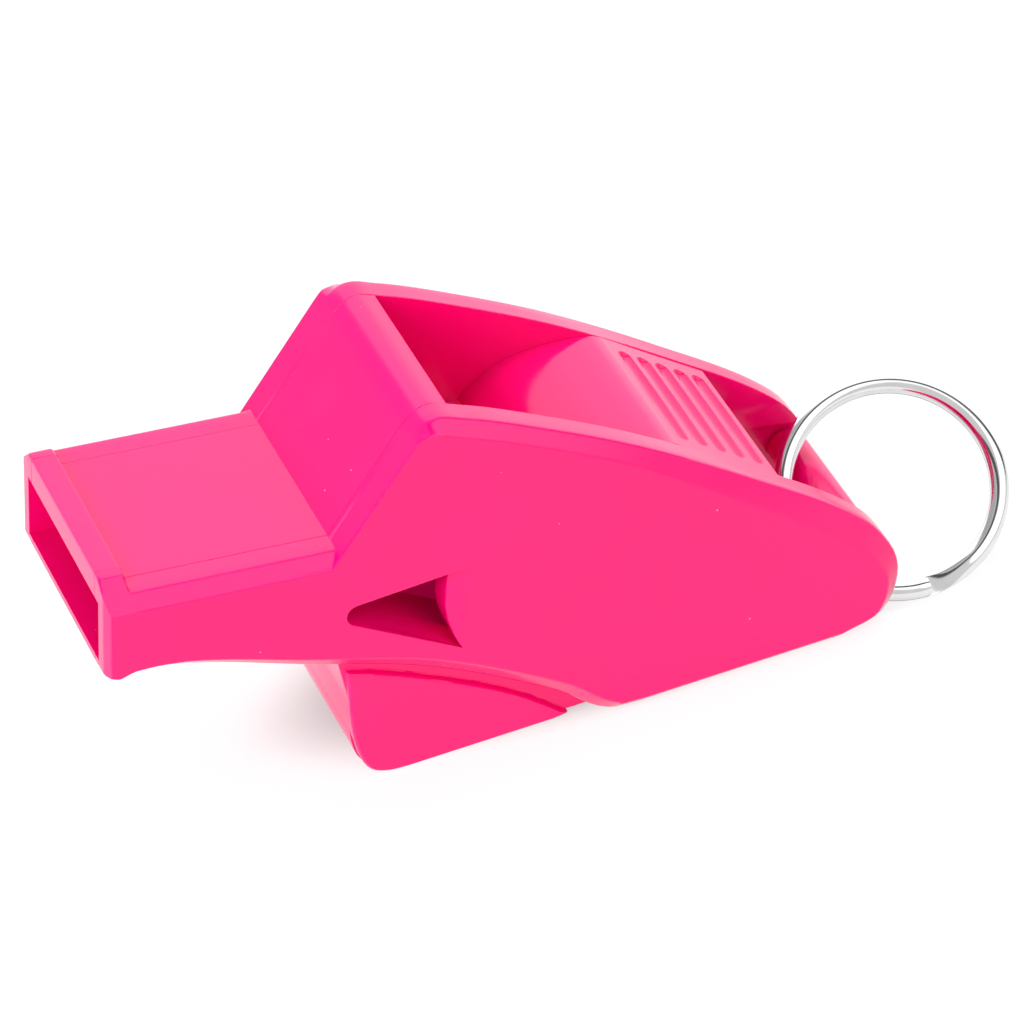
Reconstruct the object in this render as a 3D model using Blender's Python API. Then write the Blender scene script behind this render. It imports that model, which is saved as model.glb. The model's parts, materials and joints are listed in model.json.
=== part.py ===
"""Training whistle: a centre moulding, two side covers and a split ring.

Whistle axes, in millimetres: X runs from the lip of the mouthpiece to the tail, Y across,
Z up from the flat top of the mouthpiece. An empty turns them so that the whistle stands level.
"""
import math

import bmesh
import bpy
from mathutils import Matrix, Vector
from mathutils.geometry import interpolate_bezier

MM = 0.001

# Driving dimensions, in whistle axes.
HALF_WIDTH = 9.8
EDGE = 1.0
SEAM_Y = 7.0
SEAM_GAP = 0.3
KEEL_Y = 8.0
BAND_Y = 7.5
CORE_Y = SEAM_Y - SEAM_GAP / 2
COVER_IN_Y = SEAM_Y + SEAM_GAP / 2
ARC_STEPS = 5
NEARLY_STRAIGHT = 0.05
WELD = 0.00001

# How far cutters reach past what they cut.
BEYOND_LIP_X = -5.0
BEYOND_CORE_Y = 9.0
BEYOND_COVER_Y = 11.0
BEYOND_SEAM_Y = 5.0
ABOVE_Z = 14.0
OVERLAP = 0.5
SKIM = 0.02

# Mouthpiece.
LIP_X = 0.3
LIP_BACK_X = 2.2
LIP_TOP_Z = 0.9
LIP_BOTTOM_Z = -7.3
LIP_Y = 7.8
FLOOR_Z = -7.0
SLOT_TOP_Z = -1.1
SLOT_FLOOR_Z = -6.1
SLOT_Y = 7.8
SLOT_DEPTH = 13.0

# Underside: the line on which the keel and both covers stand.
BASE_X = 41.0
BASE_Z = -19.64
BASE_SLOPE = 0.12

# Air ways and chambers.
WINDWAY_Y = 2.1
WINDWAY_HEIGHT = 1.2
WINDWAY_STEP = 0.1
WELL_FLOOR_Z = -1.4
CHAMBER_Y = 2.4
WEB_Y = 3.6
SIDE_SLIT_Y = 6.0
SIDE_SLIT_END_X = 19.0
SIDE_SLIT_TOP_Z = -2.8
COVER_SKIN = 1.5
WINDOW_LAND = 0.1

# Thumb grip on the hump.
GROOVES = 5
GROOVE_X = 44.7
GROOVE_PITCH = 1.5
GROOVE_RADIUS = 0.42
GROOVE_SIDES = 8
GROOVE_LIFT = 0.12
GROOVE_HALF_LENGTH = 5.8

# Tail bar and split ring.
BAR_X = 59.7
BAR_Z = -12.5
BAR_RADIUS = 1.5
BAR_SIDES = 20
FORK_Y = 8.2
RING_CENTRE = (64.2, -1.1, -11.3)
RING_AXIS = (-0.22, -0.56, 0.80)
RING_OUTER_RADIUS = 8.75
WIRE_WIDTH = 1.45
WIRE_THICKNESS = 0.75
TURN_PITCH = 0.83
RING_STEPS = 36
RING_START = math.radians(-56)
CROSSOVER = math.radians(14)

PINK = (1.0, 0.03, 0.22, 1.0)
PINK_ROUGHNESS = 0.28
STEEL = (0.72, 0.72, 0.74, 1.0)
STEEL_ROUGHNESS = 0.16


def base_z(x):
    return BASE_Z + BASE_SLOPE * (x - BASE_X)


# Side view of a cover, clockwise from the lip. Each knot is x, z, "corner" or "round", and the
# width of the chamfer on the edge that leaves it.
COVER_KNOTS = [
    (LIP_X, 0.0, "corner", EDGE),
    (17.3, 0.0, "corner", 0.0),
    (22.5, 8.0, "round", 0.0),
    (24.3, 9.5, "round", EDGE),
    (26.6, 9.0, "round", EDGE),
    (33.2, 6.5, "round", EDGE),
    (44.5, 1.1, "round", EDGE),
    (54.8, -5.2, "round", EDGE),
    (58.6, -8.1, "round", EDGE),
    (61.3, -12.4, "round", EDGE),
    (60.3, -16.2, "round", EDGE),
    (57.0, base_z(57.0), "corner", EDGE),
    (BASE_X, base_z(BASE_X), "corner", EDGE),
    (38.6, -19.6, "round", EDGE),
    (34.4, -16.9, "round", EDGE),
    (24.3, -12.1, "round", EDGE),
    (15.3, -9.6, "round", EDGE),
    (5.0, FLOOR_Z - 0.1, "round", EDGE),
    (LIP_X, FLOOR_Z, "corner", 0.0),
]

CREST_BACK_X = 25.9
HUMP_CURVE = [(33.0, -0.75), (34.0, 0.3), (35.3, 1.05), (36.9, 1.6), (38.8, 1.95), (41.2, 2.0)]
HUMP_TOP = [(43.4, 1.72), (51.9, -3.25)]
WELL_FRONT = [(CREST_BACK_X, ABOVE_Z), (CREST_BACK_X, WELL_FLOOR_Z), (32.6, WELL_FLOOR_Z)]
WELL_BACK = [HUMP_TOP[0], (44.0, ABOVE_Z)]

CORE_KNOTS = [
    (LIP_X, LIP_TOP_Z, "corner", 0.0),
    (LIP_BACK_X, LIP_TOP_Z, "corner", 0.0),
    (LIP_BACK_X + 0.2, 0.0, "corner", 0.0),
    (17.3, 0.0, "corner", 0.0),
    (22.5, 8.0, "round", 0.0),
    (24.3, 9.5, "round", 0.0),
    (26.6, 9.0, "round", 0.0),
    (33.2, 6.5, "round", 0.0),
    (HUMP_TOP[0][0], HUMP_TOP[0][1], "round", 0.0),
    (HUMP_TOP[1][0], HUMP_TOP[1][1], "corner", 0.0),
    (51.3, -9.0, "round", 0.0),
    (50.6, base_z(50.6) + 0.1, "corner", 0.0),
    (21.5, base_z(21.5), "corner", 0.0),
    (19.9, -20.4, "round", 0.0),
    (18.5, -12.0, "round", 0.0),
    (15.6, -9.7, "round", 0.0),
    (5.0, FLOOR_Z - 0.1, "round", 0.0),
    (LIP_BACK_X + 0.4, FLOOR_Z, "corner", 0.0),
    (LIP_BACK_X, LIP_BOTTOM_Z, "corner", 0.0),
    (LIP_X, LIP_BOTTOM_Z, "corner", 0.0),
]

BAND_KNOTS = [
    (18.1, -11.2, "corner", 0.0),
    (24.3, -12.45, "round", 0.0),
    (34.4, -17.25, "round", 0.0),
    (38.0, -19.75, "corner", 0.0),
    (36.5, base_z(36.5) + 0.25, "corner", 0.0),
    (20.5, -21.0, "corner", 0.0),
]

KEEL_KNOTS = [
    (18.65, -11.9, "corner", 0.0),
    (24.6, -13.7, "round", 0.0),
    (31.8, -17.2, "round", 0.0),
    (36.0, base_z(36.0) + 0.2, "corner", 0.0),
    (34.8, base_z(34.8), "corner", 0.0),
    (22.2, base_z(22.2), "corner", 0.0),
    (20.1, -20.8, "round", 0.0),
    (19.6, -19.0, "corner", 0.0),
]

WINDOW_OUTER = [(18.0, -6.2), (17.85, -5.3), (18.8, -4.2), (27.5, -3.1), (26.4, -10.4)]
WINDOW_INNER = [(18.0, -6.2), (17.85, -5.3), (18.8, -4.2), (25.3, -3.4), (26.2, -10.3)]

SIDE_CHAMBER = [(18.6, -2.6), (44.0, -3.2), (49.2, -7.5), (49.2, -15.6), (41.5, -16.8),
                (34.2, -14.0), (25.8, -10.2), (18.6, -7.8)]
CENTRE_CHAMBER = [(26.6, -1.2), (32.3, -1.2), (34.5, -2.4), (44.0, -2.6), (48.6, -6.0),
                  (48.0, -15.5), (38.0, -17.6), (24.0, -18.8), (21.6, -14.0), (21.6, -4.5)]


# Where the inner faces of the tail are relieved round the ring.
FORK = [(53.6, -9.4), (66.0, -10.2), (66.0, -22.0), (53.6, -22.0)]


def trace(knots):
    """Points of a closed outline as (x, z, chamfer, is_corner), rounds passed as Bezier arcs."""
    count = len(knots)
    points = []
    for i, (x, z, kind, chamfer) in enumerate(knots):
        start = Vector((x, z))
        after = knots[(i + 1) % count]
        end = Vector((after[0], after[1]))
        points.append((x, z, chamfer, kind == "corner"))
        if kind == "corner" and after[2] == "corner":
            continue
        reach = (end - start).length / 3
        handle_out = start + leaving(knots, i) * reach
        handle_in = end - leaving(knots, (i + 1) % count, arriving=True) * reach
        arc = interpolate_bezier(start, handle_out, handle_in, end, ARC_STEPS + 1)[1:-1]
        for step, point in enumerate(arc, 1):
            blend = step / ARC_STEPS
            width = chamfer if kind == "corner" else chamfer * (1 - blend) + after[3] * blend
            points.append((point.x, point.y, width, False))
    return points


def leaving(knots, i, arriving=False):
    """Direction of the outline at knot i: along the chord of its neighbours where it is round."""
    here = Vector(knots[i][:2])
    before = Vector(knots[i - 1][:2])
    after = Vector(knots[(i + 1) % len(knots)][:2])
    if knots[i][2] == "round":
        return ((here - before).normalized() + (after - here).normalized()).normalized()
    return ((here - before) if arriving else (after - here)).normalized()


def inset(points):
    """The outline moved inwards by each point's chamfer, mitred at the corners."""
    moved = []
    count = len(points)
    for i, (x, z, chamfer, corner) in enumerate(points):
        here = Vector((x, z))
        before = Vector(points[i - 1][:2])
        after = Vector(points[(i + 1) % count][:2])
        into = (here - before).normalized()
        out = (after - here).normalized()
        normal_in = Vector((into.y, -into.x))
        normal_out = Vector((out.y, -out.x))
        cross = normal_in.x * normal_out.y - normal_in.y * normal_out.x
        if corner and abs(cross) > NEARLY_STRAIGHT:
            width_in = points[i - 1][2]
            shift_x = (width_in * normal_out.y - chamfer * normal_in.y) / cross
            shift_z = (chamfer * normal_in.x - width_in * normal_out.x) / cross
            moved.append((x + shift_x, z + shift_z))
            continue
        normal = (normal_in + normal_out).normalized()
        moved.append((x + normal.x * chamfer, z + normal.y * chamfer))
    return moved


def plain(points):
    return [(point[0], point[1]) for point in points]


def link(name, mesh, collection, material=None):
    obj = bpy.data.objects.new(name, mesh)
    collection.objects.link(obj)
    if material:
        mesh.materials.clear()
        mesh.materials.append(material)
    return obj


def as_cutter(obj):
    obj.hide_render = True
    obj.display_type = "WIRE"
    return obj


def plate(name, points, y_low, y_high, collection):
    """A flat outline in the side view, extruded between two Y planes."""
    curve = bpy.data.curves.new(name, "CURVE")
    curve.dimensions = "2D"
    curve.fill_mode = "BOTH"
    curve.extrude = (y_high - y_low) / 2 * MM
    spline = curve.splines.new("POLY")
    spline.points.add(len(points) - 1)
    spline.use_cyclic_u = True
    for knot, (x, z) in zip(spline.points, points):
        knot.co = (x * MM, z * MM, 0.0, 1.0)
    flat = bpy.data.objects.new(name + "_outline", curve)
    flat.matrix_world = (Matrix.Translation((0.0, (y_low + y_high) / 2 * MM, 0.0))
                         @ Matrix.Rotation(math.radians(90), 4, "X"))
    collection.objects.link(flat)
    return link(name, solid_from(flat), collection)


def solid_from(flat):
    """The closed mesh of a curve object, which is then removed."""
    bpy.context.view_layer.update()
    depsgraph = bpy.context.evaluated_depsgraph_get()
    mesh = bpy.data.meshes.new_from_object(flat.evaluated_get(depsgraph))
    mesh.transform(flat.matrix_world)
    curve = flat.data
    bpy.data.objects.remove(flat)
    bpy.data.curves.remove(curve)
    shell = bmesh.new()
    shell.from_mesh(mesh)
    bmesh.ops.remove_doubles(shell, verts=shell.verts, dist=WELD)
    bmesh.ops.recalc_face_normals(shell, faces=shell.faces)
    shell.to_mesh(mesh)
    shell.free()
    return mesh


def loft(name, sections, collection):
    """A closed solid through outlines of equal count, each given as (y, points)."""
    shell = bmesh.new()
    rings = []
    for y, points in sections:
        rings.append([shell.verts.new((x * MM, y * MM, z * MM)) for x, z in points])
    for lower, upper in zip(rings, rings[1:]):
        for i in range(len(lower)):
            j = (i + 1) % len(lower)
            shell.faces.new((lower[i], lower[j], upper[j], upper[i]))
    shell.faces.new(rings[0])
    shell.faces.new(rings[-1])
    bmesh.ops.recalc_face_normals(shell, faces=shell.faces)
    mesh = bpy.data.meshes.new(name)
    shell.to_mesh(mesh)
    shell.free()
    return link(name, mesh, collection)


def block(name, low, high, collection):
    bpy.ops.mesh.primitive_cube_add(size=1.0)
    obj = bpy.context.object
    obj.name = name
    middle = [(a + b) / 2 * MM for a, b in zip(low, high)]
    size = [(b - a) * MM for a, b in zip(low, high)]
    obj.data.transform(Matrix.Translation(middle) @ Matrix.Diagonal((*size, 1.0)))
    for owner in list(obj.users_collection):
        owner.objects.unlink(obj)
    collection.objects.link(obj)
    return obj


def cylinder(name, x, z, y_low, y_high, radius, sides, collection):
    """A round bar along Y."""
    bpy.ops.mesh.primitive_cylinder_add(vertices=sides, radius=radius * MM,
                                        depth=(y_high - y_low) * MM)
    obj = bpy.context.object
    obj.name = name
    place = Matrix.Translation((x * MM, (y_low + y_high) / 2 * MM, z * MM))
    obj.data.transform(place @ Matrix.Rotation(math.radians(90), 4, "X"))
    for owner in list(obj.users_collection):
        owner.objects.unlink(obj)
    collection.objects.link(obj)
    return obj


def combine(obj, other, operation):
    step = obj.modifiers.new(operation.lower() + "_" + other.name, "BOOLEAN")
    step.operation = operation
    step.solver = "EXACT"
    step.object = as_cutter(other)


def plastic(name):
    material = bpy.data.materials.new(name)
    material.use_nodes = True
    shader = material.node_tree.nodes["Principled BSDF"]
    shader.inputs["Base Color"].default_value = PINK
    shader.inputs["Roughness"].default_value = PINK_ROUGHNESS
    shader.inputs["Metallic"].default_value = 0.0
    return material


def steel(name):
    material = bpy.data.materials.new(name)
    material.use_nodes = True
    shader = material.node_tree.nodes["Principled BSDF"]
    shader.inputs["Base Color"].default_value = STEEL
    shader.inputs["Roughness"].default_value = STEEL_ROUGHNESS
    shader.inputs["Metallic"].default_value = 1.0
    return material


def centre_body(parts, cutters):
    """Mouthpiece roof and floor, ramp, crest, hump, chamber webs and keel in one moulding."""
    body = plate("centre_body", plain(trace(CORE_KNOTS)), -CORE_Y, CORE_Y, parts)
    combine(body, plate("band", plain(trace(BAND_KNOTS)), -BAND_Y, BAND_Y, cutters), "UNION")
    combine(body, plate("keel", plain(trace(KEEL_KNOTS)), -KEEL_Y, KEEL_Y, cutters), "UNION")
    cuts = [
        block("mouth_slot", (BEYOND_LIP_X, -BEYOND_CORE_Y, SLOT_FLOOR_Z),
              (SLOT_DEPTH, BEYOND_CORE_Y, SLOT_TOP_Z), cutters),
        plate("well", WELL_FRONT + HUMP_CURVE + WELL_BACK, -BEYOND_CORE_Y, BEYOND_CORE_Y, cutters),
        block("centre_windway", (SLOT_DEPTH - OVERLAP, -WINDWAY_Y, SLOT_TOP_Z - WINDWAY_HEIGHT),
              (CREST_BACK_X + 2 * OVERLAP, WINDWAY_Y, SLOT_TOP_Z - WINDWAY_STEP), cutters),
        plate("centre_chamber", CENTRE_CHAMBER, -CHAMBER_Y, CHAMBER_Y, cutters),
    ]
    for side, sign in (("left", -1), ("right", 1)):
        near, far = sorted((sign * WEB_Y, sign * BEYOND_CORE_Y))
        cuts.append(plate("side_chamber_" + side, SIDE_CHAMBER, near, far, cutters))
        near, far = sorted((sign * SIDE_SLIT_Y, sign * (BEYOND_CORE_Y - WINDWAY_STEP)))
        slit_low = (SLOT_DEPTH - OVERLAP, near, SLOT_FLOOR_Z + WINDWAY_STEP)
        slit_high = (SIDE_SLIT_END_X, far, SIDE_SLIT_TOP_Z)
        cuts.append(block("side_windway_" + side, slit_low, slit_high, cutters))
    top, foot = HUMP_TOP
    slope = (foot[1] - top[1]) / (foot[0] - top[0])
    for i in range(GROOVES):
        x = GROOVE_X + i * GROOVE_PITCH
        z = top[1] + slope * (x - top[0]) + GROOVE_LIFT
        cuts.append(cylinder(f"grip_groove_{i + 1}", x, z, -GROOVE_HALF_LENGTH,
                             GROOVE_HALF_LENGTH, GROOVE_RADIUS, GROOVE_SIDES, cutters))
    for cut in cuts:
        combine(body, cut, "DIFFERENCE")
    body.data.materials.append(plastic("centre_body_plastic"))
    return body


def side_cover(side, sign, parts, cutters):
    """One cheek: a chamfered skin with a window, hollow towards the centre body."""
    outline = trace(COVER_KNOTS)
    full = plain(outline)
    cover = loft(f"{side}_cover", [(sign * COVER_IN_Y, full), (sign * (HALF_WIDTH - EDGE), full),
                                   (sign * HALF_WIDTH, inset(outline))], parts)
    lip_full = [(LIP_X, LIP_TOP_Z), (LIP_BACK_X, LIP_TOP_Z), (LIP_BACK_X, LIP_BOTTOM_Z),
                (LIP_X, LIP_BOTTOM_Z)]
    lip_end = [(LIP_X, -EDGE), (LIP_BACK_X, -EDGE), (LIP_BACK_X, FLOOR_Z + EDGE),
               (LIP_X, FLOOR_Z + EDGE)]
    combine(cover, loft(f"{side}_lip", [(sign * COVER_IN_Y, lip_full), (sign * LIP_Y, lip_full),
                                        (sign * (HALF_WIDTH - SKIM), lip_end)], cutters), "UNION")
    near, far = sorted((sign * BEYOND_SEAM_Y, sign * FORK_Y))
    combine(cover, plate(f"{side}_fork", FORK, near, far, cutters), "DIFFERENCE")
    if sign < 0:
        combine(cover, cylinder("tail_bar", BAR_X, BAR_Z, -FORK_Y - OVERLAP, FORK_Y - SEAM_GAP,
                                BAR_RADIUS, BAR_SIDES, cutters), "UNION")
    near, far = sorted((0.0, sign * SLOT_Y))
    combine(cover, block(f"{side}_mouth_slot", (BEYOND_LIP_X, near, SLOT_FLOOR_Z),
                         (SLOT_DEPTH, far, SLOT_TOP_Z), cutters), "DIFFERENCE")
    skin_y = HALF_WIDTH - COVER_SKIN
    near, far = sorted((sign * BEYOND_SEAM_Y, sign * skin_y))
    slit_x = SLOT_DEPTH - OVERLAP
    hollow = [(slit_x, SLOT_FLOOR_Z), (slit_x, SIDE_SLIT_TOP_Z)] + SIDE_CHAMBER
    combine(cover, plate(f"{side}_hollow", hollow, near, far, cutters), "DIFFERENCE")
    window = [(BEYOND_SEAM_Y, WINDOW_INNER), (skin_y - WINDOW_LAND, WINDOW_INNER),
              (HALF_WIDTH + SKIM, WINDOW_OUTER), (BEYOND_COVER_Y, WINDOW_OUTER)]
    combine(cover, loft(f"{side}_window", [(sign * y, points) for y, points in window], cutters),
            "DIFFERENCE")
    cover.data.materials.append(plastic(f"{side}_cover_plastic"))
    return cover


def split_ring(parts):
    """Flat wire wound twice round, with a short crossover between its turns."""
    radius = RING_OUTER_RADIUS - WIRE_WIDTH / 2
    curve = bpy.data.curves.new("split_ring", "CURVE")
    curve.dimensions = "3D"
    curve.twist_mode = "Z_UP"
    curve.bevel_depth = WIRE_THICKNESS / 2 * MM
    curve.extrude = (WIRE_WIDTH - WIRE_THICKNESS) / 2 * MM
    curve.bevel_resolution = 1
    curve.use_fill_caps = True
    spline = curve.splines.new("POLY")
    first = CROSSOVER
    last = 4 * math.pi - CROSSOVER
    count = 2 * RING_STEPS
    spline.points.add(count)
    for i, knot in enumerate(spline.points):
        angle = first + (last - first) * i / count
        rise = min(max((angle - 2 * math.pi) / CROSSOVER, -1.0), 1.0)
        z = TURN_PITCH / 2 * math.sin(rise * math.pi / 2)
        turned = angle + RING_START
        knot.co = (radius * math.cos(turned) * MM, radius * math.sin(turned) * MM, z * MM, 1.0)
        knot.tilt = math.radians(90)
    flat = bpy.data.objects.new("split_ring_wire", curve)
    parts.objects.link(flat)
    ring = link("split_ring", solid_from(flat), parts, steel("ring_steel"))
    ring.data.shade_smooth()
    ring.data.set_sharp_from_angle(angle=math.radians(40))
    return ring


def middle_x(objects):
    """Middle of the objects' box along X."""
    bpy.context.view_layer.update()
    across = [(obj.matrix_world @ Vector(corner)).x for obj in objects for corner in obj.bound_box]
    return (min(across) + max(across)) / 2


def main():
    for obj in list(bpy.data.objects):
        bpy.data.objects.remove(obj)
    parts = bpy.data.collections.new("training_whistle")
    cutters = bpy.data.collections.new("cutters")
    bpy.context.scene.collection.children.link(parts)
    bpy.context.scene.collection.children.link(cutters)

    level = math.atan(BASE_SLOPE)
    axes = bpy.data.objects.new("whistle_axes", None)
    axes.rotation_euler = (0.0, level, 0.0)
    axes.location.z = (BASE_X * math.sin(level) - BASE_Z * math.cos(level)) * MM
    parts.objects.link(axes)

    body = centre_body(parts, cutters)
    left = side_cover("left", -1, parts, cutters)
    right = side_cover("right", 1, parts, cutters)
    ring = split_ring(parts)

    pivot = bpy.data.objects.new("ring_pivot", None)
    bar_centre = Vector((BAR_X, 0.0, BAR_Z))
    pivot.location = bar_centre * MM
    parts.objects.link(pivot)
    pivot.parent = axes
    ring.parent = pivot
    ring.location = (Vector(RING_CENTRE) - bar_centre) * MM
    ring.rotation_mode = "QUATERNION"
    ring.rotation_quaternion = Vector(RING_AXIS).to_track_quat("Z", "Y")
    for obj in (body, left, right, *cutters.objects):
        obj.parent = axes

    axes.location.x = -middle_x((body, left, right, ring))


main()
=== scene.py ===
import json
import math

import bmesh
import bpy
from mathutils import Matrix, Vector
from mathutils.geometry import interpolate_bezier

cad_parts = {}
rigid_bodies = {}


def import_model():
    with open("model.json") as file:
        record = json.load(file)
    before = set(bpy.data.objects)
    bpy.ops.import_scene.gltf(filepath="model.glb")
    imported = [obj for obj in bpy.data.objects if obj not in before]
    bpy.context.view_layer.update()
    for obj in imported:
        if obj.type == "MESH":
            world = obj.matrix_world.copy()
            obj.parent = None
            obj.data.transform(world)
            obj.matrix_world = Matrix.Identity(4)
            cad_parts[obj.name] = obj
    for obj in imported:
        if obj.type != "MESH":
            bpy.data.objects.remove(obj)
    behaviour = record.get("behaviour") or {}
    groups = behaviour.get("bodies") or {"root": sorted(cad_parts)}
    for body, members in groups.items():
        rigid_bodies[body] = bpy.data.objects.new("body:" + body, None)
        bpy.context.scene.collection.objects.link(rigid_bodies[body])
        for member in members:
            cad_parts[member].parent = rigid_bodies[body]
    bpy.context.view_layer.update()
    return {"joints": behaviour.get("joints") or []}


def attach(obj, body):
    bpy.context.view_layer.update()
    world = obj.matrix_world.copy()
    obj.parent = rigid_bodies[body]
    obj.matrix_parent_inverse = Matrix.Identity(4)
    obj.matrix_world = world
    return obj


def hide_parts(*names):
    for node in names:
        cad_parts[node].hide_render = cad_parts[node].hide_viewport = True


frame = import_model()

MM = 0.001

HALF_WIDTH = 9.8
SEAM_Y = 7.0
SEAM_GAP = 0.002
CORE_Y = SEAM_Y - SEAM_GAP
COVER_IN_Y = SEAM_Y + SEAM_GAP
SEAM_ROUND = 0.05
BAND_Y = 7.5
BAND_ROUND = 0.1
KEEL_Y = 8.0
KEEL_ROUND = 0.35

LIP_X = 0.3
LIP_TOP_Z = 0.95
LIP_Y = 7.8
LIP_FALL = 0.975
FLOOR_Z = -6.75
SLOT_TOP_Z = -1.1
SLOT_FLOOR_Z = -6.1
SLOT_Y = 7.8
SLOT_DEPTH = 13.0
OUTLET_Y = 2.4
CHAMBER_Y = 3.6

BASE_X = 41.0
BASE_Z = -19.64
BASE_SLOPE = 0.12

BAR_X = 59.7
BAR_Z = -12.5
BAR_RADIUS = 1.5
BAR_SIDES = 48
BAR_START_Y = -8.7
BAR_END_Y = 7.9
FORK_Y = 8.2

RING_CENTRE = (64.2, -1.1, -11.3)
RING_AXIS = (-0.22, -0.56, 0.80)
RING_OUTER_RADIUS = 8.75
WIRE_WIDTH = 1.45
WIRE_THICKNESS = 0.75
TURN_PITCH = 0.83
RING_START = math.radians(-56)
CROSSOVER = math.radians(14)
WIRE_SIDES = 36
WIRE_STEPS = 240
WIRE_END_SHARE = 0.86

GRIP_TOP = (44.2, 1.22)
GRIP_FOOT = (51.9, -3.28)
GROOVES = 5
GROOVE_X = 45.05
GROOVE_PITCH = 1.5
GROOVE_RADIUS = 0.75
GROOVE_LIFT = 0.45
GROOVE_NEAR_Y = -5.2
GROOVE_FAR_Y = 5.1
GROOVE_SIDES = 24

# How finely curves are drawn, and how sharp edges are found and rounded.
ARC_STEP = 0.8
ARC_STEPS_LEAST = 4
ARC_STEPS_MOST = 14
ROUND_STEPS = 3
NEARLY_STRAIGHT = 0.05
EDGE_ROUND = 0.1
ROOM_BESIDE = 1.5
ROOM_AT_ENDS = 1.3
SHARP_EDGE = math.radians(40)
SMOOTH_BELOW = math.radians(30)
WIRE_SMOOTH_BELOW = math.radians(50)
MERGE = 0.003

# Cutters reach this far past what they cut: forward, to the sides, and into the core.
BEYOND_LIP_X = -5.0
BEYOND_CORE_Y = 9.0
BEYOND_COVER_Y = 11.0
INSIDE_COVERS_Y = 5.0
SKIM = 0.02

PINK_DARK = (0.71, 0.0006, 0.115, 1.0)
PINK_LIGHT = (0.77, 0.0012, 0.135, 1.0)
SPECK_PINK = (0.9, 0.25, 0.45, 1.0)
SPECK_SIZE = 0.034
STEEL_DARK = (0.66, 0.66, 0.67, 1.0)
STEEL_LIGHT = (0.80, 0.80, 0.80, 1.0)

# The floor, in metres: its own glow near and behind the whistle, and a painted shadow where it
# stands, which dims the glow there.
FLOOR_SIZE = 6.0
FLOOR_GREY = (0.2, 0.2, 0.2, 1.0)
FLOOR_GLOW = 0.76
FAR_FLOOR_GLOW = 1.9
FAR_FLOOR_Y = (0.05, 0.25)
# Painted shadow under the whistle: the dimmed glow, its soft edge and the oval it covers.
PAINTED_SHADOW_GLOW = 0.45
PAINTED_SHADOW_EDGE = (0.6, 1.1)
PAINTED_SHADOW_FOOTPRINT = (0.024, 0.009)

# The room: strengths, and the directions in which its panels lie.
WHITE = (1.0, 1.0, 1.0, 1.0)
FRONT_STRENGTH = 0.8
BACK_STRENGTH = 0.5
PANEL_STRENGTH = 1.35
OVERHEAD_STRENGTH = 1.15
STRIP_SHARE = 0.12
BACKWARDS = (0.0, 1.0, 0.0)
PANEL_AXIS = (0.90, 0.43, 0.0)
OVERHEAD_AXIS = (0.5, -0.5, 0.707)
STRIP_AXIS = (-0.10, 0.97, 0.10)

# Soft boxes, all aimed at the whistle: name, place, size in metres, watts.
SOFT_BOXES = [
    ("key", (-0.62, -0.55, 0.56), 0.5, 7.8),
    ("mouth_fill", (-0.95, -0.15, 0.25), 0.3, 5.2),
    ("top", (0.25, 0.2, 0.95), 0.4, 4.4),
]
SOFT_BOX_AIM = Vector((0.0, 0.0, 0.01))

# The camera in whistle axes: its place, and its right, up and back as the turn's columns.
CAMERA_PLACE = (-95.41, -302.43, 236.37)
CAMERA_TURN = Matrix(((0.928, 0.196, -0.317),
                      (-0.371, 0.562, -0.739),
                      (0.033, 0.803, 0.595)))
CAMERA_LENS = 199.6
CAMERA_SENSOR = 36.0
CAMERA_CLIP_START = 0.01


def base_z(x):
    return BASE_Z + BASE_SLOPE * (x - BASE_X)


# Outlines in the side view: x, z, "corner" or "round", and the chamfer of the outer edge there.
COVER_KNOTS = [
    (LIP_X, 0.0, "corner", 1.0),
    (17.3, 0.0, "corner", 0.0),
    (22.3, 7.7, "corner", 0.0),
    (22.95, 8.57, "round", 0.0),
    (24.3, 9.5, "round", 0.9),
    (26.6, 9.0, "round", 1.0),
    (33.2, 6.5, "round", 1.0),
    (39.9, 3.5, "round", 1.15),
    (49.2, -1.6, "round", 1.7),
    (57.3, -6.7, "round", 1.9),
    (59.6, -8.9, "round", 1.7),
    (61.3, -12.4, "round", 1.3),
    (60.3, -16.2, "round", 1.1),
    (57.0, base_z(57.0), "corner", 1.0),
    (BASE_X, base_z(BASE_X), "corner", 1.0),
    (38.6, -19.6, "round", 1.2),
    (34.4, -16.9, "round", 1.3),
    (24.3, -12.1, "round", 1.3),
    (15.3, -9.6, "round", 1.1),
    (6.0, -7.1, "round", 0.9),
    (2.4, FLOOR_Z, "round", 0.6),
    (1.2, -6.95, "round", 0.4),
    (LIP_X, -6.6, "corner", 0.3),
]

# The lip's bead in the side view, from the lip's front edge and the bead's top.
BEAD = [(0.0, -0.24), (0.06, -0.07), (0.22, 0.0), (1.68, 0.0), (1.84, -0.06), (1.92, -0.25)]
BEAD_FOOT_X = 2.32

# How a cover's outline shrinks towards its outer face: y, share of the chamfer, extra inset.
COVER_PROFILE = [
    (COVER_IN_Y, 0.0, SEAM_ROUND),
    (COVER_IN_Y + SEAM_ROUND, 0.0, 0.0),
    (LIP_Y - 0.12, 0.0, 0.0),
    (LIP_Y + 0.1, 0.0, 0.0),
    (8.62, 0.0, 0.0),
    (8.80, 0.04, 0.0),
    (8.94, 0.15, 0.0),
    (9.60, 0.81, 0.0),
    (9.73, 0.93, 0.01),
    (9.785, 0.98, 0.05),
    (HALF_WIDTH, 1.0, 0.12),
]

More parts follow.
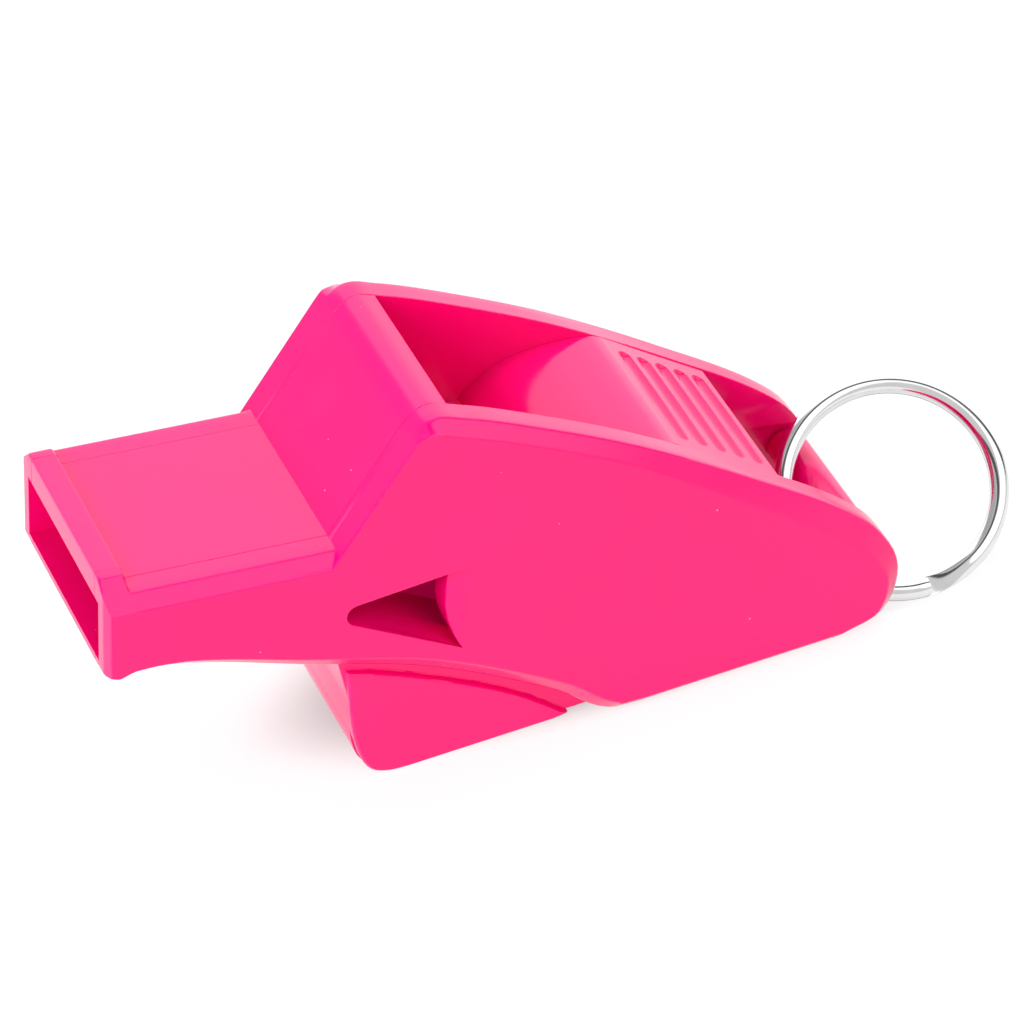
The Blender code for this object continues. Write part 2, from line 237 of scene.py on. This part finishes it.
CORE_KNOTS = [(LIP_X + dx, LIP_TOP_Z + dz, "corner", 0.0) for dx, dz in BEAD] + [
    (BEAD_FOOT_X, 0.0, "corner", 0.0),
    (17.3, 0.0, "corner", 0.0),
    (22.3, 7.7, "corner", 0.0),
    (22.95, 8.57, "round", 0.0),
    (24.3, 9.5, "round", 0.0),
    (25.9, 9.22, "corner", 0.0),
    (26.3, -1.4, "corner", 0.0),
    (32.6, -1.4, "corner", 0.0),
    (33.0, -0.75, "corner", 0.0),
    (35.3, 1.05, "round", 0.0),
    (38.6, 1.93, "round", 0.0),
    (40.1, 2.03, "round", 0.0),
    (42.6, 1.93, "round", 0.0),
    (43.5, 1.62, "round", 0.0),
    (GRIP_TOP[0], GRIP_TOP[1], "corner", 0.0),
    (GRIP_FOOT[0], GRIP_FOOT[1], "corner", 0.0),
    (51.3, -9.0, "round", 0.0),
    (50.6, base_z(50.6) + 0.1, "corner", 0.0),
    (21.5, base_z(21.5), "corner", 0.0),
    (19.9, -20.4, "round", 0.0),
    (18.5, -12.0, "round", 0.0),
    (15.6, -9.7, "round", 0.0),
    (6.0, -7.1, "round", 0.0),
    (2.4, FLOOR_Z, "round", 0.0),
    (1.2, -6.95, "round", 0.0),
    (LIP_X, -6.6, "corner", 0.0),
]

BAND_KNOTS = [
    (18.1, -11.2, "corner", 0.0),
    (24.3, -12.3, "round", 0.0),
    (34.4, -17.1, "round", 0.0),
    (38.0, -19.7, "corner", 0.0),
    (36.5, base_z(36.5) + 0.25, "corner", 0.0),
    (20.5, -21.0, "corner", 0.0),
]

KEEL_KNOTS = [
    (18.6, -11.9, "corner", 0.0),
    (21.7, -12.75, "round", 0.0),
    (27.6, -15.1, "round", 0.0),
    (31.8, -17.2, "round", 0.0),
    (36.0, base_z(36.0) + 0.15, "corner", 0.0),
    (34.8, base_z(34.8), "corner", 0.0),
    (23.6, base_z(23.6), "corner", 0.0),
    (22.0, base_z(22.0) + 0.16, "round", 0.0),
    (20.7, -21.3, "round", 0.0),
    (19.8, -19.8, "round", 0.0),
]

# The window: its round front end, and its back edge on the cheek and at the foot of the slope.
WINDOW_END = (18.72, -5.44)
WINDOW_END_RADIUS = 0.85
WINDOW_END_TURN = (-117.5, -260.5)
WINDOW_CHEEK = [(27.6, -3.1), (27.38, -4.9), (27.18, -6.7), (27.04, -8.0), (26.9, -9.2),
                (26.82, -9.8), (26.74, -10.35)]
WINDOW_FOOT = [(25.72, -3.41), (25.55, -5.1), (25.5, -6.8), (25.66, -8.0), (26.04, -9.2),
               (26.32, -9.8), (26.66, -10.33)]
WINDOW_SLOPE = 0.45
WINDOW_LAND_Y = 9.0

# Hollows in the side view.
MOUTH_SLOT = [(BEYOND_LIP_X, SLOT_FLOOR_Z), (SLOT_DEPTH, SLOT_FLOOR_Z),
              (SLOT_DEPTH, SLOT_TOP_Z), (BEYOND_LIP_X, SLOT_TOP_Z)]
OUTLET = [(26.8, 1.0), (26.8, -16.0), (32.2, -16.0), (32.2, 1.0)]
SIDE_CHAMBER = [(18.0, -5.95), (18.0, -5.2), (18.7, -4.55), (27.0, -3.2), (44.0, -3.2),
                (49.2, -7.5), (49.2, -15.6), (41.5, -16.8), (34.2, -14.2), (26.6, -10.36),
                (18.3, -6.22)]
FORK = [(53.6, -9.4), (66.0, -10.2), (66.0, -22.0), (53.6, -22.0)]

pivot = Vector(frame["joints"][0]["pos_m"])
WHISTLE_AXES = (Matrix.Translation(pivot)
                @ Matrix.Rotation(math.atan(BASE_SLOPE), 4, "Y")
                @ Matrix.Scale(MM, 4)
                @ Matrix.Translation((-BAR_X, 0.0, -BAR_Z)))

scene = bpy.context.scene
shop = bpy.data.collections.new("cutters")
scene.collection.children.link(shop)


def leaving(knots, i, arriving=False):
    """Direction of the outline at knot i: along the chord of its neighbours where it is round."""
    here = Vector(knots[i][:2])
    before = Vector(knots[i - 1][:2])
    after = Vector(knots[(i + 1) % len(knots)][:2])
    if knots[i][2] == "round":
        return ((here - before).normalized() + (after - here).normalized()).normalized()
    return ((here - before) if arriving else (after - here)).normalized()


def trace(knots):
    """Points of a closed outline as (x, z, chamfer, is_corner), rounds passed as Bezier arcs."""
    count = len(knots)
    points = []
    for i, (x, z, kind, chamfer) in enumerate(knots):
        start = Vector((x, z))
        after = knots[(i + 1) % count]
        end = Vector(after[:2])
        points.append((x, z, chamfer, kind == "corner"))
        if kind == "corner" and after[2] == "corner":
            continue
        reach = (end - start).length / 3
        handle_out = start + leaving(knots, i) * reach
        handle_in = end - leaving(knots, (i + 1) % count, arriving=True) * reach
        steps = round((end - start).length / ARC_STEP)
        steps = min(max(steps, ARC_STEPS_LEAST), ARC_STEPS_MOST)
        passed = interpolate_bezier(start, handle_out, handle_in, end, steps + 1)[1:-1]
        for step, point in enumerate(passed, 1):
            blend = step / steps
            width = chamfer if kind == "corner" else chamfer * (1 - blend) + after[3] * blend
            points.append((point.x, point.y, width, False))
    return points


def inset(points, share=0.0, extra=0.0):
    """The outline moved inwards by a share of each point's chamfer and an extra width."""
    if not share and not extra:
        return [point[:2] for point in points]
    moved = []
    count = len(points)
    for i, (x, z, chamfer, corner) in enumerate(points):
        here = Vector((x, z))
        into = (here - Vector(points[i - 1][:2])).normalized()
        out = (Vector(points[(i + 1) % count][:2]) - here).normalized()
        normal_in = Vector((into.y, -into.x))
        normal_out = Vector((out.y, -out.x))
        width = chamfer * share + extra
        cross = normal_in.x * normal_out.y - normal_in.y * normal_out.x
        if corner and abs(cross) > NEARLY_STRAIGHT:
            width_in = points[i - 1][2] * share + extra
            shift_x = (width_in * normal_out.y - width * normal_in.y) / cross
            shift_z = (width * normal_in.x - width_in * normal_out.x) / cross
            moved.append((x + shift_x, z + shift_z))
            continue
        normal = (normal_in + normal_out).normalized()
        moved.append((x + normal.x * width, z + normal.y * width))
    return moved


def new_object(name, shell, collection):
    bmesh.ops.recalc_face_normals(shell, faces=shell.faces)
    mesh = bpy.data.meshes.new(name)
    shell.to_mesh(mesh)
    shell.free()
    obj = bpy.data.objects.new(name, mesh)
    collection.objects.link(obj)
    return obj


def loft(name, sections, collection=shop):
    """A closed solid through outlines of equal count, each given as (y, points). A point is
    (x, z), or (x, z, y) where it lies at a depth of its own."""
    shell = bmesh.new()
    rings = []
    for y, points in sections:
        rings.append([shell.verts.new((x, *(depth or [y]), z)) for x, z, *depth in points])
    for lower, upper in zip(rings, rings[1:]):
        for i in range(len(lower)):
            j = (i + 1) % len(lower)
            shell.faces.new((lower[i], lower[j], upper[j], upper[i]))
    shell.faces.new(rings[0])
    shell.faces.new(rings[-1])
    return new_object(name, shell, collection)


def slab(name, knots, half_width, round_by, collection=shop):
    """An outline extruded to both sides, its long edges rounded."""
    outline = trace(knots)
    sections = []
    for step in range(ROUND_STEPS + 1):
        angle = math.radians(90 - 90 / ROUND_STEPS * step)
        sections.append((half_width - round_by * (1 - math.sin(angle)),
                         inset(outline, 0.0, round_by * (1 - math.cos(angle)))))
    sections = [(-y, points) for y, points in sections] + [(y, p) for y, p in reversed(sections)]
    return loft(name, sections, collection)


def prism(name, points, y_low, y_high):
    return loft(name, [(y_low, points), (y_high, points)])


def arc(centre, radius, turn, steps=8):
    """Points along an arc, its turn given as first and last angle in degrees."""
    points = []
    for i in range(steps + 1):
        angle = math.radians(turn[0] + (turn[1] - turn[0]) * i / steps)
        points.append((centre[0] + radius * math.cos(angle), centre[1] + radius * math.sin(angle)))
    return points


def lay_across(name, shell, x, z, y_low, y_high):
    """An object from a shape built upright, laid along Y with its middle between two widths."""
    obj = new_object(name, shell, shop)
    obj.data.transform(Matrix.Translation((x, (y_low + y_high) / 2, z))
                       @ Matrix.Rotation(math.radians(90), 4, "X"))
    return obj


def capsule(name, x, z, y_low, y_high, radius):
    """A round bar along Y whose round ends reach past the widths given: a ball pulled apart at
    its middle, where the vertices that lie on the middle itself stay."""
    shell = bmesh.new()
    bmesh.ops.create_uvsphere(shell, u_segments=GROOVE_SIDES, v_segments=GROOVE_SIDES // 2,
                              radius=radius)
    for vert in shell.verts:
        if abs(vert.co.z) > MERGE:
            vert.co.z += math.copysign((y_high - y_low) / 2, vert.co.z)
    return lay_across(name, shell, x, z, y_low, y_high)


def bar(name, x, z, y_low, y_high, radius):
    shell = bmesh.new()
    bmesh.ops.create_cone(shell, cap_ends=True, segments=BAR_SIDES, radius1=radius,
                          radius2=radius, depth=y_high - y_low)
    return lay_across(name, shell, x, z, y_low, y_high)


def combine(obj, other, operation):
    step = obj.modifiers.new(other.name, "BOOLEAN")
    step.operation = operation
    step.solver = "EXACT"
    step.object = other


def roomy(edge, width):
    """Whether an edge is sharp and has room for its rounding on both sides and at both ends."""
    if not edge.is_manifold or edge.calc_face_angle() < SHARP_EDGE or edge.calc_length() < width:
        return False
    room = ROOM_BESIDE * width * edge.calc_length()
    if min(face.calc_area() for face in edge.link_faces) < room:
        return False
    return all(other.calc_length() > ROOM_AT_ENDS * width
               for vert in edge.verts for other in vert.link_edges)


def finish_mesh(obj):
    """Applies the Booleans, rounds the sharp edges and moves the piece into the frame."""
    bpy.context.view_layer.update()
    depsgraph = bpy.context.evaluated_depsgraph_get()
    mesh = bpy.data.meshes.new_from_object(obj.evaluated_get(depsgraph))
    obj.modifiers.clear()
    obj.data = mesh
    shell = bmesh.new()
    shell.from_mesh(mesh)
    bmesh.ops.remove_doubles(shell, verts=shell.verts, dist=MERGE)
    bmesh.ops.dissolve_degenerate(shell, edges=shell.edges, dist=MERGE)
    edges = [edge for edge in shell.edges if roomy(edge, EDGE_ROUND)]
    bmesh.ops.bevel(shell, geom=edges, offset=EDGE_ROUND, segments=ROUND_STEPS, profile=0.5,
                    affect="EDGES", clamp_overlap=False)
    shell.to_mesh(mesh)
    shell.free()
    mesh.transform(WHISTLE_AXES)
    mesh.shade_smooth()
    mesh.set_sharp_from_angle(angle=SMOOTH_BELOW)
    normals = obj.modifiers.new("normals", "WEIGHTED_NORMAL")
    normals.keep_sharp = True
    normals.weight = 100
    return obj


def centre_body():
    body = slab("centre_body_moulding", CORE_KNOTS, CORE_Y, SEAM_ROUND, scene.collection)
    combine(body, slab("band", BAND_KNOTS, BAND_Y, BAND_ROUND), "UNION")
    combine(body, slab("keel", KEEL_KNOTS, KEEL_Y, KEEL_ROUND), "UNION")
    cuts = [prism("mouth_slot", MOUTH_SLOT, -BEYOND_CORE_Y, BEYOND_CORE_Y),
            prism("chamber_outlet", OUTLET, -OUTLET_Y, OUTLET_Y)]
    for side, sign in (("left", -1), ("right", 1)):
        near, far = sorted((sign * CHAMBER_Y, sign * BEYOND_CORE_Y))
        cuts.append(prism("side_chamber_" + side, SIDE_CHAMBER, near, far))
    slope = (GRIP_FOOT[1] - GRIP_TOP[1]) / (GRIP_FOOT[0] - GRIP_TOP[0])
    for i in range(GROOVES):
        x = GROOVE_X + i * GROOVE_PITCH
        z = GRIP_TOP[1] + slope * (x - GRIP_TOP[0]) + GROOVE_LIFT
        cuts.append(capsule(f"groove_{i + 1}", x, z, GROOVE_NEAR_Y, GROOVE_FAR_Y, GROOVE_RADIUS))
    for cut in cuts:
        combine(body, cut, "DIFFERENCE")
    return finish_mesh(body)


def cover_outline(y, share, extra):
    """A cover's outline at a width y, where the lip's bead slopes down to the cheek."""
    outline = inset(trace(COVER_KNOTS), share, extra)
    front_x, plate_z = outline[0]
    top = LIP_TOP_Z - LIP_FALL * max(0.0, y - LIP_Y)
    height = (top - plate_z) / LIP_TOP_Z
    bead = [(front_x + dx, top + dz * height) for dx, dz in BEAD]
    return [*bead, (BEAD_FOOT_X, plate_z), *outline[1:]]


def side_cover(side, sign):
    cover = loft(f"{side}_cover_moulding",
                 [(sign * y, cover_outline(y, share, extra)) for y, share, extra in COVER_PROFILE],
                 scene.collection)
    near, far = sorted((sign * INSIDE_COVERS_Y, sign * FORK_Y))
    combine(cover, prism(f"{side}_fork", FORK, near, far), "DIFFERENCE")
    if sign < 0:
        tail_bar = bar("tail_bar", BAR_X, BAR_Z, BAR_START_Y, BAR_END_Y, BAR_RADIUS)
        combine(cover, tail_bar, "UNION")
    near, far = sorted((sign * INSIDE_COVERS_Y, sign * SLOT_Y))
    combine(cover, prism(f"{side}_mouth_slot", MOUTH_SLOT, near, far), "DIFFERENCE")
    end = arc(WINDOW_END, WINDOW_END_RADIUS, WINDOW_END_TURN)
    foot = [(x, z, sign * (HALF_WIDTH - WINDOW_SLOPE * (cheek_x - x)))
            for (x, z), (cheek_x, _) in zip(WINDOW_FOOT, WINDOW_CHEEK)]
    window = loft(f"{side}_window", [(sign * INSIDE_COVERS_Y, end + WINDOW_FOOT),
                                     (sign * WINDOW_LAND_Y, end + foot),
                                     (sign * (HALF_WIDTH + SKIM), end + WINDOW_CHEEK),
                                     (sign * BEYOND_COVER_Y, end + WINDOW_CHEEK)])
    combine(cover, window, "DIFFERENCE")
    return finish_mesh(cover)


def split_ring():
    """Half-round wire swept twice round: the upper turn is domed above and the lower one below,
    with a short crossover between them and plainly cut ends."""
    radius = RING_OUTER_RADIUS - WIRE_WIDTH / 2
    section = [(math.cos(math.tau * k / WIRE_SIDES) * WIRE_WIDTH / 2,
                math.sin(math.tau * k / WIRE_SIDES)) for k in range(WIRE_SIDES)]
    shell = bmesh.new()
    rings = []
    first = CROSSOVER
    last = 2 * math.tau - CROSSOVER
    for i in range(WIRE_STEPS + 1):
        angle = first + (last - first) * i / WIRE_STEPS
        rise = min(max((angle - math.tau) / CROSSOVER, -1.0), 1.0)
        side = math.sin(rise * math.pi / 2)
        z = TURN_PITCH / 2 * side
        share = WIRE_END_SHARE if i in (0, WIRE_STEPS) else 1.0
        c, s = math.cos(angle + RING_START), math.sin(angle + RING_START)
        wire = []
        for across, lift in section:
            dome = max(lift, 0.0) * (1 + side) + min(lift, 0.0) * (1 - side) - side
            reach = radius + across * share
            wire.append(shell.verts.new((reach * c, reach * s,
                                         z + dome * share * WIRE_THICKNESS / 2)))
        rings.append(wire)
    for lower, upper in zip(rings, rings[1:]):
        for k in range(WIRE_SIDES):
            m = (k + 1) % WIRE_SIDES
            shell.faces.new((lower[k], lower[m], upper[m], upper[k]))
    shell.faces.new(rings[0])
    shell.faces.new(rings[-1])
    ring = new_object("split_ring_wire", shell, scene.collection)
    turn = Vector(RING_AXIS).to_track_quat("Z", "Y").to_matrix().to_4x4()
    ring.data.transform(WHISTLE_AXES @ Matrix.Translation(RING_CENTRE) @ turn)
    ring.data.shade_smooth()
    ring.data.set_sharp_from_angle(angle=WIRE_SMOOTH_BELOW)
    return ring


def node(tree, kind, **values):
    """A new node, its values given by the names of its sockets or settings."""
    made = tree.nodes.new(kind)
    for key, value in values.items():
        if key in made.inputs:
            made.inputs[key].default_value = value
        else:
            setattr(made, key, value)
    return made


def smooth_step(tree, value, low, high, start=0.0, end=1.0):
    """Value mapped smoothly from low..high to start..end."""
    step = node(tree, "ShaderNodeMapRange", interpolation_type="SMOOTHSTEP",
                **{"From Min": low, "From Max": high, "To Min": start, "To Max": end})
    tree.links.new(value, step.inputs["Value"])
    return step.outputs["Result"]


def along(tree, direction, axis):
    """How far a direction points along an axis."""
    dot = node(tree, "ShaderNodeVectorMath", operation="DOT_PRODUCT")
    dot.inputs[1].default_value = axis
    tree.links.new(direction, dot.inputs[0])
    return dot.outputs["Value"]


def math_node(tree, first, second, operation="MULTIPLY"):
    """The result of a sum whose terms are sockets or numbers."""
    result = node(tree, "ShaderNodeMath", operation=operation)
    for socket, value in zip(result.inputs, (first, second)):
        if isinstance(value, float):
            socket.default_value = value
        else:
            tree.links.new(value, socket)
    return result.outputs[0]


def noise(tree, where, scale, **values):
    made = node(tree, "ShaderNodeTexNoise", **{"Scale": scale}, **values)
    tree.links.new(where, made.inputs["Vector"])
    return made.outputs["Fac"]


def colour_mix(tree, share, first, second):
    """A mix of two colours, each a socket or an RGBA value."""
    mixed = node(tree, "ShaderNodeMix", data_type="RGBA")
    tree.links.new(share, mixed.inputs[0])
    for socket, colour in ((mixed.inputs[6], first), (mixed.inputs[7], second)):
        if isinstance(colour, tuple):
            socket.default_value = colour
        else:
            tree.links.new(colour, socket)
    return mixed.outputs[2]


def uneven_roughness(tree, shader, fac, **limits):
    rough = node(tree, "ShaderNodeMapRange", **limits)
    tree.links.new(fac, rough.inputs["Value"])
    tree.links.new(rough.outputs["Result"], shader.inputs["Roughness"])


def relief(tree, shader, fac, strength, distance):
    bump = node(tree, "ShaderNodeBump", **{"Strength": strength, "Distance": distance})
    tree.links.new(fac, bump.inputs["Height"])
    tree.links.new(bump.outputs["Normal"], shader.inputs["Normal"])


def with_specks(tree, where, colour):
    """A colour with a few pale dust specks of unequal size."""
    cells = node(tree, "ShaderNodeTexVoronoi", **{"Scale": 520.0})
    tree.links.new(where, cells.inputs["Vector"])
    parts = node(tree, "ShaderNodeSeparateColor")
    tree.links.new(cells.outputs["Color"], parts.inputs[0])
    size = math_node(tree, parts.outputs[0], SPECK_SIZE)
    speck = math_node(tree, cells.outputs["Distance"], size, "LESS_THAN")
    return colour_mix(tree, speck, colour, SPECK_PINK)


def new_material(name):
    """A material with its node tree, its shader and its object coordinates."""
    material = bpy.data.materials.new(name)
    material.use_nodes = True
    tree = material.node_tree
    where = node(tree, "ShaderNodeTexCoord").outputs["Object"]
    return material, tree, tree.nodes["Principled BSDF"], where


def pink_plastic():
    """Glossy moulded ABS: slightly mottled pink, faint orange peel, fine rubs and dust specks."""
    material, tree, shader, where = new_material("pink_plastic")
    mottled = colour_mix(tree, noise(tree, where, 90.0, Detail=4.0), PINK_DARK, PINK_LIGHT)
    tree.links.new(with_specks(tree, where, mottled), shader.inputs["Base Color"])
    rub = noise(tree, where, 260.0, Detail=6.0, Roughness=0.65)
    uneven_roughness(tree, shader, rub,
                     **{"From Min": 0.3, "From Max": 0.75, "To Min": 0.11, "To Max": 0.19})
    relief(tree, shader, noise(tree, where, 900.0, Detail=2.0), 0.12, 0.00002)
    shader.inputs["IOR"].default_value = 1.41
    return material


def ring_steel():
    """Polished spring steel with a little uneven polish."""
    material, tree, shader, where = new_material("ring_steel")
    shader.inputs["Metallic"].default_value = 1.0
    smudge = noise(tree, where, 700.0, Detail=5.0)
    tree.links.new(colour_mix(tree, smudge, STEEL_DARK, STEEL_LIGHT), shader.inputs["Base Color"])
    uneven_roughness(tree, shader, smudge, **{"To Min": 0.06, "To Max": 0.16})
    relief(tree, shader, smudge, 0.15, 0.00001)
    return material


def floor():
    """White floor that glows a little, so that only a faint shadow shows; the glow is stronger
    behind the whistle and weaker where it stands, a painted shadow under the whistle."""
    bpy.ops.mesh.primitive_plane_add(size=FLOOR_SIZE)
    plane = bpy.context.object
    plane.name = "floor"
    material, tree, shader, where = new_material("floor_white")
    shader.inputs["Base Color"].default_value = FLOOR_GREY
    shader.inputs["Roughness"].default_value = 0.8
    shader.inputs["Specular IOR Level"].default_value = 0.0
    shader.inputs["Emission Color"].default_value = WHITE
    glow = smooth_step(tree, along(tree, where, BACKWARDS), *FAR_FLOOR_Y, FLOOR_GLOW,
                       FAR_FLOOR_GLOW)
    # Painted shadow: the floor's glow is dimmed in an oval under the whistle.
    painted_shadow_scale = node(tree, "ShaderNodeVectorMath", operation="MULTIPLY")
    painted_shadow_scale.inputs[1].default_value = (1 / PAINTED_SHADOW_FOOTPRINT[0], 1 / PAINTED_SHADOW_FOOTPRINT[1], 0.0)
    tree.links.new(where, painted_shadow_scale.inputs[0])
    reach = node(tree, "ShaderNodeVectorMath", operation="LENGTH")
    tree.links.new(painted_shadow_scale.outputs["Vector"], reach.inputs[0])
    painted_shadow = smooth_step(tree, reach.outputs["Value"], *PAINTED_SHADOW_EDGE, PAINTED_SHADOW_GLOW, 1.0)
    tree.links.new(math_node(tree, glow, painted_shadow), shader.inputs["Emission Strength"])
    plane.data.materials.append(material)


def world():
    """A pale room: a broad soft panel behind on the right, a second one overhead in front, and a
    thin dark strip along the room, which the polished ring picks up as a line."""
    scene.world = bpy.data.worlds.new("studio")
    scene.world.use_nodes = True
    tree = scene.world.node_tree
    background = tree.nodes["Background"]
    where = node(tree, "ShaderNodeTexCoord").outputs["Generated"]
    beside = smooth_step(tree, along(tree, where, PANEL_AXIS), -0.08, 0.08)
    backwards = along(tree, where, BACKWARDS)
    behind = smooth_step(tree, backwards, 0.0, 0.3, 0.0, PANEL_STRENGTH)
    room = smooth_step(tree, backwards, -0.1, 0.3, FRONT_STRENGTH, BACK_STRENGTH)
    above = smooth_step(tree, along(tree, where, OVERHEAD_AXIS), 0.8, 0.92, 0.0,
                        OVERHEAD_STRENGTH)
    off_strip = math_node(tree, along(tree, where, STRIP_AXIS), 0.0, "ABSOLUTE")
    strip = smooth_step(tree, off_strip, 0.10, 0.18, STRIP_SHARE, 1.0)
    light = math_node(tree, math_node(tree, beside, behind), room, "ADD")
    light = math_node(tree, light, above, "ADD")
    tree.links.new(math_node(tree, light, strip), background.inputs["Strength"])
    background.inputs["Color"].default_value = WHITE


def soft_box(name, place, size, power):
    """A square lamp, left out of reflections."""
    data = bpy.data.lights.new(name, "AREA")
    data.size = size
    data.energy = power
    lamp = bpy.data.objects.new(name, data)
    lamp.location = place
    lamp.rotation_euler = (SOFT_BOX_AIM - Vector(place)).to_track_quat("-Z", "Y").to_euler()
    lamp.visible_glossy = False
    scene.collection.objects.link(lamp)


def camera():
    """Long lens, looking down on the near side from the mouthpiece end."""
    data = bpy.data.cameras.new("camera")
    data.sensor_width = CAMERA_SENSOR
    data.lens = CAMERA_LENS
    data.clip_start = CAMERA_CLIP_START
    view = bpy.data.objects.new("camera", data)
    turn = Matrix.Rotation(math.atan(BASE_SLOPE), 3, "Y") @ CAMERA_TURN
    view.matrix_world = Matrix.Translation(WHISTLE_AXES @ Vector(CAMERA_PLACE)) @ turn.to_4x4()
    scene.collection.objects.link(view)
    scene.camera = view


plastic = pink_plastic()
for piece, node_name in ((centre_body(), "centre_body"),
                         (side_cover("left", -1), "left_cover"),
                         (side_cover("right", 1), "right_cover")):
    piece.data.materials.clear()
    piece.data.materials.append(plastic)
    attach(piece, "whistle")
    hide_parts(node_name)
ring = split_ring()
ring.data.materials.append(ring_steel())
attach(ring, "ring")
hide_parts("split_ring")
for cutter in list(shop.objects):
    bpy.data.objects.remove(cutter)
bpy.data.collections.remove(shop)

floor()
world()
for box in SOFT_BOXES:
    soft_box(*box)
camera()
scene.view_settings.view_transform = "Standard"
